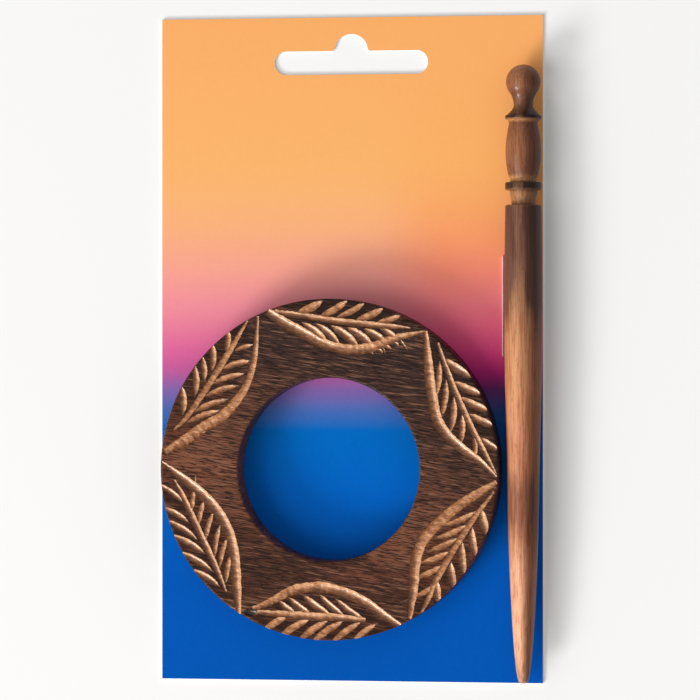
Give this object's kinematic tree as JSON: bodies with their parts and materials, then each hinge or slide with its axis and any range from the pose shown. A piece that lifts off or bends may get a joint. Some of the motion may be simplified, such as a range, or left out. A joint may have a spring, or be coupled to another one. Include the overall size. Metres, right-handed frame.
{
  "type": "shawl pin on hang card",
  "caption": "Carved wooden shawl ring with a turned wooden stick beside it, both fixed to a flat hang card with a hanger slot.",
  "frame": {"origin": "middle of the card's back face", "axes": "+X across the card toward the stick, +Y up the card toward the hanger slot, +Z out of the card's printed face, toward the ring's carved face"},
  "size_m": [0.0815, 0.14, 0.009],
  "materials": {
    "printed_board": "satin printed board, orange at the top through magenta to blue at the foot",
    "carved_wood": "dark stained wood with pale carved grooves",
    "turned_wood": "turned wood, dark at the head and golden toward the tip, semi-gloss",
    "adhesive_film": "pale double-sided strip"
  },
  "bodies": {
    "root": {"card": "printed_board", "ring": "carved_wood", "stick": "turned_wood", "adhesive_strip": "adhesive_film"}
  },
  "joints": []
}
